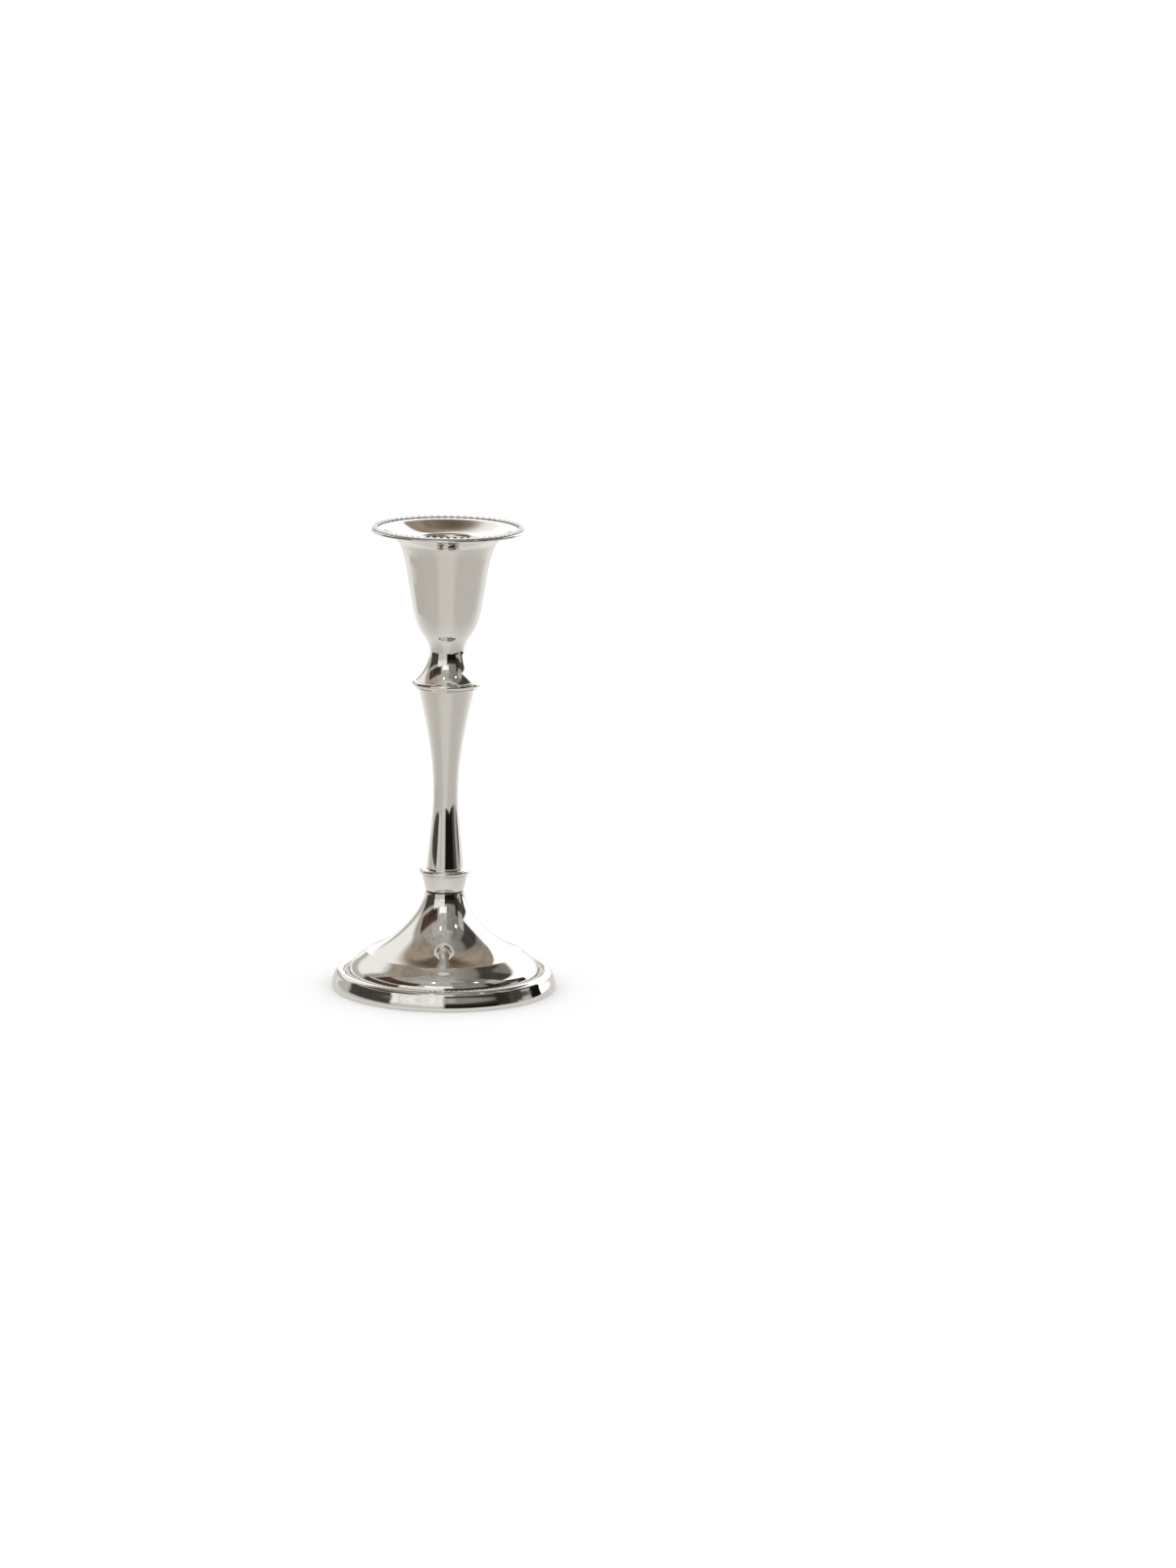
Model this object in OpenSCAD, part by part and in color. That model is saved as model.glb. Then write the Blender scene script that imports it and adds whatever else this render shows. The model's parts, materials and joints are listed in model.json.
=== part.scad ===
// Silver-plated table candlestick: turned and spun pieces stacked on a threaded tie rod.
// The foot stands on z = 0 and the tie rod's axis is Z. Lengths are in millimetres.
// From the table up: foot, collar, lower knop, stem, upper knop, cup and lift-out nozzle.

/* [Foot] */
// Radius of the foot at its widest, just above the table
foot_r = 43.2; // [34:0.2:52]
// Height of the foot's flat top above the table
foot_h = 38; // [31:0.5:46]
// Radius of the foot's flat top
foot_top_r = 7.5; // [7:0.1:9.5]
// Thickness of the foot's flat top
foot_top_t = 1.5; // [1:0.1:3]
// Wall of the spun foot
foot_wall = 1.0; // [0.6:0.1:1.6]
// Height of the shoulder's crest above the table
crest_h = 14; // [11.6:0.2:16.8]
// Width of the rounded shoulder outside the crest
shoulder_w = 6.6; // [5.4:0.1:8]
// Height of the flange that carries the beading and the rim
seat_h = 6.2; // [5:0.1:8]
// Width of the border: beading and rim
border_w = 6.7; // [6:0.1:8]
// Width of the rolled rim
rim_w = 4.7; // [4:0.1:5.6]
// Wall of the rim at the table
rim_wall = 2.8; // [2:0.1:3.5]
// Height of the rim's rolled top above the flange
rim_rise = 1.25; // [0.8:0.05:2]
// Radius of a bead of the foot's beading
foot_bead_r = 0.85; // [0.6:0.05:0.95]
// Number of beads round the foot
foot_beads = 110; // [80:1:124]

/* [Collar and lower knop] */
// Height of the tapered collar
collar_h = 5.8; // [4.5:0.1:8]
// Radius of the collar at its top
collar_top_r = 8.7; // [8:0.1:10.5]
// Radius of the collar at its foot
collar_foot_r = 7.3; // [6.8:0.1:9]
// Height of the shadow gap between the foot and the collar
shadow_gap = 0.45; // [0.2:0.05:1]
// Depth of the shadow gap
shadow_depth = 0.9; // [0.5:0.1:2]
// Radius of the lower knop
lower_knop_r = 9.65; // [9.2:0.05:12]
// Radius of the lower knop's rounded edge
lower_knop_edge = 1.1; // [0.8:0.05:1.4]

/* [Stem] */
// Length of the hollow stem
stem_len = 70.3; // [55:0.5:90]
// Radius of the stem at its top
stem_top_r = 10.6; // [9.2:0.1:12.8]
// Radius of the stem at its waist
stem_waist_r = 4.75; // [4.4:0.05:5.7]
// Radius of the stem at its foot
stem_foot_r = 7.1; // [6.5:0.1:8.4]
// Height of the waist above the stem's foot
waist_h = 29; // [24:0.5:35]
// Wall of the stem
stem_wall = 0.9; // [0.6:0.1:1.2]

/* [Upper knop] */
// Radius of the upper knop
upper_knop_r = 13.25; // [12.8:0.05:16]
// Radius of the upper knop's rounded edge
upper_knop_edge = 1.15; // [0.8:0.05:1.4]
// Radius of the small bead under the upper knop
under_bead_r = 0.55; // [0.4:0.05:0.7]

/* [Cup] */
// Height of the cup from the upper knop to its mouth
cup_h = 52.5; // [48:0.5:63]
// Radius of the cup at its mouth
cup_mouth_r = 18.5; // [18.2:0.1:22]
// Radius of the cup where its bowl begins to turn in
cup_bowl_r = 13.2; // [13:0.1:16]
// Radius of the neck
neck_r = 6.65; // [6:0.05:8]
// Radius of the cup's foot, on the upper knop
cup_foot_r = 12; // [10.5:0.1:12.4]
// Height of the cup's floor above the upper knop
cup_floor_h = 20.5; // [19:0.5:23]
// Thickness of the cup's floor
cup_floor_t = 7; // [5:0.5:9]
// Wall of the cup
cup_wall = 1.0; // [0.7:0.1:1.2]
// Depth of the straight seat in the cup's mouth
cup_seat_depth = 7; // [5:0.5:9]

/* [Nozzle] */
// Radius of the candle's bore
bore_r = 11.25; // [9.4:0.05:11.3]
// Depth of the candle's bore below its rounded lip
bore_depth = 21.1; // [17:0.1:22]
// Wall of the candle tube
tube_wall = 0.8; // [0.6:0.1:0.9]
// Width of the rounded lip round the candle's bore
lip_w = 2.25; // [1.8:0.05:2.8]
// Radius of the drip pan
pan_r = 29.35; // [27:0.05:35]
// Height of the drip pan's flange above the cup's mouth
pan_rise = 6; // [5.4:0.05:7.2]
// Thickness of the drip pan's flange
pan_t = 1.2; // [0.9:0.1:1.4]
// Thickness of the drip pan's funnel and of the skirt's shoulder and spigot
sheet = 0.8; // [0.6:0.1:1]
// Thickness of the skirt's flare
flare_wall = 0.6; // [0.5:0.05:0.7]
// Radius where the pan's flat border turns down into its funnel
crease_r = 24.3; // [22:0.1:24.5]
// Radius of a bead of the drip pan's beading
pan_bead_r = 1.0; // [0.8:0.05:1.1]
// Number of beads round the drip pan
pan_beads = 68; // [56:1:78]
// Length of the nozzle's spigot in the cup's mouth
spigot_len = 5.5; // [4:0.5:6.5]

/* [Rod and fixings] */
// Radius of the tie rod
rod_r = 2.5; // [2:0.1:3]
// Height of a nut
nut_h = 4; // [3:0.1:5]
// Width of a nut across its flats
nut_af = 8; // [7:0.5:10]
// Radius of the washer in the cup
washer_r = 5; // [4.6:0.1:6]
// Thickness of the washer in the cup
washer_t = 1.0; // [0.6:0.1:1.5]
// Radius of the washer in the foot
base_washer_r = 10; // [8:0.1:12]
// Thickness of the washer in the foot
base_washer_t = 1.5; // [1:0.1:2]
// Length of rod that stands past each nut
rod_end = 1.5; // [1:0.1:2.5]
// Height of the weight's pocket for the nut above the table
pocket_h = 11; // [9.5:0.5:14]

/* [Underside] */
// Thickness of the felt
felt_t = 1.2; // [0.8:0.1:2]
// How far the felt stands below the metal rim
felt_proud = 0.4; // [0.2:0.1:0.8]
// Thickness of the base plate
plate_t = 1.0; // [0.6:0.1:1.5]

/* [Clearances] */
// Round the rod in the pieces that it passes through
rod_clear = 0.25; // [0.1:0.05:0.4]
// Round the nut's thread and between a spigot and its socket
fit_clear = 0.05; // [0.03:0.01:0.1]
// Round the nozzle's spigot in the cup, so that it lifts out by hand
lift_clear = 0.35; // [0.3:0.05:0.5]
// Round the base plate, the weight and the washer in the foot
inner_clear = 0.4; // [0.2:0.05:0.6]

/* [Hidden] */

silver = [0.86, 0.84, 0.81];
steel = [0.62, 0.63, 0.65];
iron = [0.28, 0.27, 0.26];
board = [0.32, 0.26, 0.2];
green_felt = [0.1, 0.2, 0.14];

round_steps = 120;
curve_steps = 12;
edge_steps = 8;
ball_steps = 40;

rod_hole_r = rod_r + rod_clear;
stem_spigot_h = 2.5;
stem_spigot_taper = 0.8;
foot_spigot_taper = 0.5;
collar_spigot_r = 4;
collar_spigot_h = 1.5;
neck_spigot_h = 3;
neck_bore_r = neck_r - 1.95;

// Levels of the stack, from the table up
collar_z = foot_h + shadow_gap;
lower_knop_z = collar_z + collar_h;
lower_step_h = 0.45;
stem_z = lower_knop_z + lower_step_h + 2 * lower_knop_edge;
upper_knop_z = stem_z + stem_len;
upper_knop_h = 2 * under_bead_r - 0.1 + 2 * upper_knop_edge;
cup_z = upper_knop_z + upper_knop_h;
cup_top = cup_z + cup_h;
cup_floor_z = cup_z + cup_floor_h;
pan_z = cup_top + pan_rise;
flange_z = pan_z - pan_t;
funnel_z = cup_top + 2 * sheet;

// Radii of the foot
dome_r = foot_r - border_w;
crest_r = dome_r - shoulder_w;
rim_in_r = foot_r - rim_w;
flange_r = foot_r - rim_wall;

// The rod and what clamps on it
nut_z = pocket_h - base_washer_t - nut_h;
rod_bottom = nut_z - rod_end;
rod_top = cup_floor_z + washer_t + nut_h + rod_end;
plate_z = felt_t;
weight_z = plate_z + plate_t + 0.2;

// The nozzle
tube_r = bore_r + tube_wall;
lip_r = bore_r + lip_w;
lip_foot_z = funnel_z - 0.9;
bore_floor_z = lip_foot_z - bore_depth;
spigot_r = cup_mouth_r - 3.5;
cup_seat_r = spigot_r + lift_clear;
bead_ring_r = pan_r - 1.45;

// Points of a cubic curve through p[0] and p[3], with handles p[1] and p[2]
function curve(p, n = curve_steps) =
    [for (i = [0 : n]) let (t = i / n, u = 1 - t)
        u * u * u * p[0] + 3 * u * u * t * p[1] + 3 * u * t * t * p[2] + t * t * t * p[3]];

// Points of an arc about c from angle a to angle b
function arc(c, r, a, b, n = edge_steps) =
    [for (i = [0 : n]) let (g = a + (b - a) * i / n) c + r * [cos(g), sin(g)]];

// A line of points without its first one, and in reverse
function rest(p) = [for (i = [1 : len(p) - 1]) p[i]];
function reversed(p) = [for (i = [len(p) - 1 : -1 : 0]) p[i]];

// The normal of a line of points at point i, to the right of its direction
function side(p, i) =
    let (d = p[min(i + 1, len(p) - 1)] - p[max(i - 1, 0)]) [d.y, -d.x] / norm(d);

// A line of points moved sideways by d, to the right of its direction
function inset(p, d) = [for (i = [0 : len(p) - 1]) p[i] + d * side(p, i)];

// The point of a line of points at height z
function at_height(p, z) = [lookup(z, [for (v = p) [v.y, v.x]]), z];

// The stretch of a line of points between two heights
function between(p, low, high) =
    let (q = [for (v = p) if (v.y > low + 0.05 && v.y < high - 0.05) v],
         down = q[0].y > q[len(q) - 1].y)
    concat([at_height(p, down ? high : low)], q, [at_height(p, down ? low : high)]);

// Outer outlines, each from its top down
foot_line = concat(
    curve([[foot_top_r, foot_h],
           [foot_top_r + 0.9, foot_h - 0.37 * (foot_h - crest_h)],
           [crest_r - 0.55 * (crest_r - foot_top_r), crest_h + 0.2 * (foot_h - crest_h)],
           [crest_r, crest_h]]),
    rest(curve([[crest_r, crest_h], [crest_r + 2.6, crest_h - 2.35],
                [dome_r - 0.1, seat_h + 3.6], [dome_r, seat_h]])));

stem_line = concat(
    curve([[stem_top_r, upper_knop_z],
           [stem_waist_r + 0.37 * (stem_top_r - stem_waist_r),
            stem_z + waist_h + 0.6 * (stem_len - waist_h)],
           [stem_waist_r, stem_z + waist_h + 0.34 * (stem_len - waist_h)],
           [stem_waist_r, stem_z + waist_h]]),
    rest(curve([[stem_waist_r, stem_z + waist_h], [stem_waist_r, stem_z + 0.72 * waist_h],
                [stem_waist_r + 0.62 * (stem_foot_r - stem_waist_r), stem_z + 0.34 * waist_h],
                [stem_foot_r, stem_z]])));

flare_z = cup_top - 8;
flare_r = cup_mouth_r - 2.4;
bowl_z = cup_z + 28;
turn_r = cup_bowl_r - 4;
turn_z = bowl_z - 10.4;
neck_z = cup_z + 11.1;

cup_line = concat(
    curve([[cup_mouth_r, cup_top], [cup_mouth_r - 1.2, cup_top - 2.2],
           [flare_r + 0.6, flare_z + 3], [flare_r, flare_z]]),
    rest(curve([[cup_bowl_r, bowl_z], [cup_bowl_r - 0.7, bowl_z - 3.9],
                [turn_r + 2, turn_z + 2.7], [turn_r, turn_z]])),
    rest(curve([[turn_r, turn_z], [turn_r - 1.6, turn_z - 2.1],
                [neck_r, neck_z + 2.6], [neck_r, neck_z]])),
    rest(curve([[neck_r, neck_z], [neck_r, neck_z - 3.4],
                [cup_foot_r - 3.8, cup_z + 3.4], [cup_foot_r, cup_z]])));

module turned(outline) {
    rotate_extrude($fn = round_steps) polygon(outline);
}

module ring(r_in, r_out, z, h) {
    translate([0, 0, z])
        difference() {
            cylinder(r = r_out, h = h, $fn = round_steps);
            translate([0, 0, -1]) cylinder(r = r_in, h = h + 2, $fn = round_steps);
        }
}

// A beaded wire: half balls on a flat band, level underneath at z
module beading(r, z, ball_r, count, band_w) {
    translate([0, 0, z]) {
        for (i = [0 : count - 1])
            rotate([0, 0, (i + 0.5) * 360 / count])
                translate([r, 0, 0]) half_ball(ball_r);
        ring(r - band_w / 2, r + band_w / 2, 0, ball_r / 3);
    }
}

module half_ball(r) {
    rotate_extrude($fn = ball_steps)
        intersection() {
            circle(r = r, $fn = ball_steps);
            square(r);
        }
}

module nut(z) {
    translate([0, 0, z])
        difference() {
            cylinder(r = nut_af / sqrt(3), h = nut_h, $fn = 6);
            translate([0, 0, -1]) cylinder(r = rod_r + fit_clear, h = nut_h + 2, $fn = round_steps);
        }
}

// Spun pan: flat beaded border, rounded edge and a funnel down to the candle tube
module drip_pan() {
    hole_r = tube_r + fit_clear;
    land_r = lip_r + 0.2;
    edge = pan_t / 2;
    funnel = curve([[crease_r, pan_z - 0.25], [crease_r - 3.6, pan_z - 1.8],
                    [land_r + 2.6, funnel_z + 0.35], [land_r, funnel_z]]);
    color(silver)
        turned(concat(
            [[hole_r, funnel_z - sheet], [hole_r, funnel_z]],
            reversed(funnel),
            [[crease_r + 2.5, pan_z]],
            arc([pan_r - edge, flange_z + edge], edge, 90, -90),
            between(inset(funnel, -sheet), funnel_z - sheet, flange_z)));
}

module nozzle_beading() {
    color(silver) beading(bead_ring_r, pan_z, pan_bead_r, pan_beads, 1.3);
}

// Closed tube that holds the candle, hung in the pan by its rounded lip
module candle_tube() {
    lip = curve([[lip_r, funnel_z], [lip_r, funnel_z + 1.1],
                 [bore_r, funnel_z + 1.1], [bore_r, lip_foot_z]]);
    color(silver)
        turned(concat(
            [[0, bore_floor_z - tube_wall], [tube_r, bore_floor_z - tube_wall], [tube_r, funnel_z]],
            lip,
            [[bore_r, bore_floor_z], [0, bore_floor_z]]));
}

// Flared underside of the nozzle, with a shoulder on the cup and a spigot inside it
module nozzle_skirt() {
    flare = curve([[cup_mouth_r, cup_top], [cup_mouth_r + 1.1, cup_top + 2],
                   [pan_r - 6.35, flange_z - 0.95], [pan_r - 1.35, flange_z]]);
    color(silver)
        turned(concat(
            [[spigot_r, cup_top]],
            flare,
            reversed(between(inset(flare, -flare_wall), cup_top + sheet, flange_z)),
            [[spigot_r - sheet, cup_top + sheet], [spigot_r - sheet, cup_top - spigot_len],
             [spigot_r, cup_top - spigot_len]]));
}

// Trumpet cup, its neck and the flare down to the upper knop, turned from one casting
module socket_cup() {
    seat_z = cup_top - cup_seat_depth;
    inside = between(inset(cup_line, cup_wall), cup_floor_z, seat_z);
    color(silver)
        turned(concat(
            [[rod_hole_r, cup_floor_z]],
            reversed(inside),
            [[cup_seat_r, seat_z], [cup_seat_r, cup_top]],
            cup_line,
            [[neck_bore_r, cup_z], [neck_bore_r, cup_floor_z - cup_floor_t],
             [rod_hole_r, cup_floor_z - cup_floor_t]]));
}

module cup_washer() {
    color(steel) ring(rod_hole_r, washer_r, cup_floor_z, washer_t);
}

module cup_nut() {
    color(steel) nut(cup_floor_z + washer_t);
}

// Turned ring with a small bead below it and a spigot each way
module upper_knop() {
    edge_z = cup_z - upper_knop_edge;
    edge_r = upper_knop_r - upper_knop_edge;
    bead_r = edge_r - 0.9;
    down_r = stem_top_r - stem_wall - stem_spigot_taper;
    color(silver)
        turned(concat(
            [[rod_hole_r, upper_knop_z - stem_spigot_h], [down_r, upper_knop_z - stem_spigot_h],
             [down_r, upper_knop_z]],
            arc([bead_r, upper_knop_z + under_bead_r], under_bead_r, -90, 60),
            arc([edge_r, edge_z], upper_knop_edge, -80, 90),
            [[neck_bore_r - fit_clear, cup_z], [neck_bore_r - fit_clear, cup_z + neck_spigot_h],
             [rod_hole_r, cup_z + neck_spigot_h]]));
}

// Hollow stem, waisted towards its foot
module stem() {
    color(silver)
        turned(concat(
            stem_line,
            reversed(between(inset(stem_line, stem_wall), stem_z, upper_knop_z))));
}

// Turned ring with a flat step below it and a spigot each way
module lower_knop() {
    edge_z = stem_z - lower_knop_edge;
    edge_r = lower_knop_r - lower_knop_edge;
    step_r = collar_top_r + 0.25;
    up_r = stem_foot_r - stem_wall - foot_spigot_taper;
    color(silver)
        turned(concat(
            [[rod_hole_r, lower_knop_z - collar_spigot_h],
             [collar_spigot_r, lower_knop_z - collar_spigot_h],
             [collar_spigot_r, lower_knop_z], [step_r, lower_knop_z],
             [step_r, lower_knop_z + lower_step_h]],
            arc([edge_r, edge_z], lower_knop_edge, -70, 90),
            [[up_r, stem_z], [up_r, stem_z + stem_spigot_h],
             [rod_hole_r, stem_z + stem_spigot_h]]));
}

// Tapered collar that stands on the foot, with a shadow gap under its edge
module collar() {
    socket_r = collar_spigot_r + fit_clear;
    socket_z = lower_knop_z - collar_spigot_h - 0.3;
    color(silver)
        turned([[rod_hole_r, foot_h], [foot_top_r - shadow_depth, foot_h],
                [foot_top_r - shadow_depth, collar_z], [collar_foot_r, collar_z],
                [collar_top_r, lower_knop_z], [socket_r, lower_knop_z],
                [socket_r, socket_z], [rod_hole_r, socket_z]]);
}

// Spun foot: flat top, hollow sweep, rounded shoulder and a flange for the border
module foot_shell() {
    inside = between(inset(foot_line, foot_wall), seat_h - foot_wall, foot_h - foot_top_t);
    color(silver)
        turned(concat(
            [[rod_hole_r, foot_h]],
            foot_line,
            [[flange_r - fit_clear, seat_h], [flange_r - fit_clear, seat_h - foot_wall]],
            reversed(inside),
            [[rod_hole_r, foot_h - foot_top_t]]));
}

module foot_beading() {
    color(silver)
        beading((dome_r + rim_in_r) / 2, seat_h, foot_bead_r, foot_beads, 1.2);
}

// Rolled rim: a band that leans in a little, and a rounded top outside the beading
module foot_rim() {
    band = curve([[foot_r, felt_proud + 0.4], [foot_r, felt_proud + 2.2],
                  [foot_r - 0.7, seat_h - 2.4], [foot_r - 1.3, seat_h - 0.6]]);
    roll = curve([[foot_r - 1.3, seat_h - 0.6], [foot_r - 1.7, seat_h + 1.15 * rim_rise],
                  [rim_in_r + 0.5, seat_h + 1.6 * rim_rise], [rim_in_r, seat_h]]);
    color(silver)
        turned(concat(
            [[flange_r, felt_proud], [foot_r - 0.3, felt_proud]],
            band,
            rest(roll),
            [[flange_r, seat_h]]));
}

module tie_rod() {
    chamfer = 0.4;
    color(steel)
        turned([[0, rod_bottom], [rod_r - chamfer, rod_bottom], [rod_r, rod_bottom + chamfer],
                [rod_r, rod_top - chamfer], [rod_r - chamfer, rod_top], [0, rod_top]]);
}

// Iron weight that fills the foot, with a pocket for the nut and its washer
module weight() {
    skin = between(inset(foot_line, foot_wall + inner_clear), weight_z, foot_h - foot_top_t);
    pocket_r = base_washer_r + inner_clear;
    color(iron)
        turned(concat(
            [[rod_hole_r, foot_h - foot_top_t]],
            skin,
            [[pocket_r, weight_z], [pocket_r, pocket_h], [rod_hole_r, pocket_h]]));
}

module base_washer() {
    color(steel) ring(rod_hole_r, base_washer_r, pocket_h - base_washer_t, base_washer_t);
}

module base_nut() {
    color(steel) nut(nut_z);
}

module base_plate() {
    color(board)
        translate([0, 0, plate_z])
            cylinder(r = flange_r - inner_clear / 4, h = plate_t, $fn = round_steps);
}

module felt_pad() {
    color(green_felt) cylinder(r = flange_r - inner_clear / 2, h = felt_t, $fn = round_steps);
}

drip_pan();
nozzle_beading();
candle_tube();
nozzle_skirt();
socket_cup();
cup_washer();
cup_nut();
upper_knop();
stem();
lower_knop();
collar();
foot_shell();
foot_beading();
foot_rim();
tie_rod();
weight();
base_washer();
base_nut();
base_plate();
felt_pad();
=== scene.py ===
"""Looks of a silver-plated table candlestick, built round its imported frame.

The stick stands on z = 0 about the Z axis, and every length is in metres. Turned and spun pieces are
revolved from smooth outlines, with their edges softened as polishing leaves them. Levels and outer
sizes come from the frame's nodes, and the other sizes are fields of the class that uses them.
"""

import json
import logging
import math
import random
from dataclasses import dataclass
from enum import Enum
from typing import Callable, Sequence

import bpy
from mathutils import Matrix, Vector


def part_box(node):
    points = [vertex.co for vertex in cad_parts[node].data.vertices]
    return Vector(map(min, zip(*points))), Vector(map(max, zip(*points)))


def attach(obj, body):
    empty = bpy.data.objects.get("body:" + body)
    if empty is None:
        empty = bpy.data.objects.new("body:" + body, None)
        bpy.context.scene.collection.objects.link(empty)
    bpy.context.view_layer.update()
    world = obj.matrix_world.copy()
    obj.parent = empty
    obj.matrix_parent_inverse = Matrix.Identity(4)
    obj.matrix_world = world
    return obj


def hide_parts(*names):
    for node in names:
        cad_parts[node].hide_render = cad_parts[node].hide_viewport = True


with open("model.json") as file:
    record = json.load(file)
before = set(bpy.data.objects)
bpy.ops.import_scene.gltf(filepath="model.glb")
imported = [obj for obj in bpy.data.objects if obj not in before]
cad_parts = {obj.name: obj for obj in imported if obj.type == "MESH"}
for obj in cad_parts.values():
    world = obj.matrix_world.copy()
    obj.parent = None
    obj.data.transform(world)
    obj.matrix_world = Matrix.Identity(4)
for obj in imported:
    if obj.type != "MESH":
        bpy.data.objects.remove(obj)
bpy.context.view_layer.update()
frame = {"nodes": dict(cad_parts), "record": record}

log = logging.getLogger("candlestick")

MM = 0.001

# Sizes that several pieces share
ROD_HOLE_R = 2.75 * MM
NECK_BORE_R = 4.7 * MM
FIT_CLEAR = 0.05 * MM

# What counts as one point, as a point on the axis and as a sharp corner
SAME_POINT = 0.004 * MM
ON_AXIS = 0.0001 * MM
SHARP = math.radians(24)

# Flats round a turned piece
ROUND = 224

Point = tuple[float, float]
Shaper = Callable[[float, float, float], float]


class Body(Enum):
    """The bodies that a piece can ride on."""

    STAND = "stand"
    NOZZLE = "nozzle"


class Slot(Enum):
    """The record's material slots."""

    SILVER = "silver_plate"
    STEEL = "steel"
    IRON = "iron"
    BOARD = "board"
    FELT = "felt"


# ---------------------------------------------------------------- outlines


def curve(p0: Point, p1: Point, p2: Point, p3: Point, steps: int = 30) -> list[Point]:
    """Points of a cubic curve.

    Args:
        p0: First point.
        p1: Handle of the first point.
        p2: Handle of the last point.
        p3: Last point.
        steps: Number of stretches.

    Returns:
        The points from p0 to p3.
    """
    line = []
    for i in range(steps + 1):
        t = i / steps
        u = 1 - t
        weights = (u * u * u, 3 * u * u * t, 3 * u * t * t, t * t * t)
        line.append(tuple(sum(w * p[k] for w, p in zip(weights, (p0, p1, p2, p3))) for k in (0, 1)))
    return line


def arc(centre: Point, radius: float, start: float, end: float, steps: int = 20) -> list[Point]:
    """Points of an arc about a centre, from one angle in degrees to another."""
    angles = (math.radians(start + (end - start) * i / steps) for i in range(steps + 1))
    return [(centre[0] + radius * math.cos(a), centre[1] + radius * math.sin(a)) for a in angles]


def joined(*lines: Sequence[Point]) -> list[Point]:
    """One line of points from several, without the points that repeat.

    Args:
        lines: The lines in order.

    Returns:
        The joined line.
    """
    line: list[Point] = []
    for part in lines:
        for point in part:
            if not line or math.dist(line[-1], point) > SAME_POINT:
                line.append(point)
    return line


def inset(line: Sequence[Point], distance: float) -> list[Point]:
    """A line moved sideways, to the right of its direction.

    Args:
        line: The points.
        distance: How far it moves.

    Returns:
        The moved points.
    """
    moved = []
    for i, point in enumerate(line):
        before, after = line[max(i - 1, 0)], line[min(i + 1, len(line) - 1)]
        run, rise = after[0] - before[0], after[1] - before[1]
        length = math.hypot(run, rise)
        moved.append((point[0] + distance * rise / length, point[1] - distance * run / length))
    return moved


def between(line: Sequence[Point], low: float, high: float) -> list[Point]:
    """The stretch of a line between two heights.

    Args:
        line: The points, always rising or always falling.
        low: Lower height.
        high: Upper height.

    Returns:
        The points, in the line's own order.
    """
    rising = line if line[0][1] < line[-1][1] else line[::-1]

    def at(height: float) -> Point:
        """The point of the line at a height.

        Args:
            height: The height.

        Returns:
            The point.
        """
        for a, b in zip(rising, rising[1:]):
            if a[1] <= height <= b[1] and b[1] > a[1]:
                share = (height - a[1]) / (b[1] - a[1])
                return a[0] + share * (b[0] - a[0]), height
        return (rising[0] if height < rising[0][1] else rising[-1])[0], height

    margin = 0.02 * MM
    inner = [p for p in rising if low + margin < p[1] < high - margin]
    cut = [at(low), *inner, at(high)]
    return cut if rising is line else cut[::-1]


def softened(outline: Sequence[Point], radius: float, steps: int = 3) -> list[Point]:
    """A closed outline whose sharp corners are rounded a little.

    Args:
        outline: The corners and curve points, in order.
        radius: How far back from a corner the rounding starts.
        steps: Number of stretches round a corner.

    Returns:
        The rounded outline.
    """
    soft: list[Point] = []
    count = len(outline)
    most = 0.45
    for i, point in enumerate(outline):
        before, after = Vector(outline[i - 1]), Vector(outline[(i + 1) % count])
        here = Vector(point)
        back, on = before - here, after - here
        sharp = back.length > 0 and on.length > 0 and back.angle(-on) > SHARP
        if not sharp or here.x < ON_AXIS:
            soft.append(point)
            continue
        start = here + back.normalized() * min(radius, most * back.length)
        end = here + on.normalized() * min(radius, most * on.length)
        for k in range(steps + 1):
            t = k / steps
            q = (1 - t) ** 2 * start + 2 * t * (1 - t) * here + t * t * end
            soft.append((q.x, q.y))
    return soft


def enclosed(outline: Sequence[Point]) -> float:
    """The area inside a closed outline, above zero if its points run counter-clockwise."""
    return sum(a[0] * b[1] - b[0] * a[1] for a, b in zip(outline, [*outline[1:], outline[0]])) / 2


def ring(inner_r: float, outer_r: float, bottom: float, top: float) -> list[Point]:
    """The outline of a flat ring."""
    return [(inner_r, bottom), (outer_r, bottom), (outer_r, top), (inner_r, top)]


# ---------------------------------------------------------------- meshes


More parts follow.
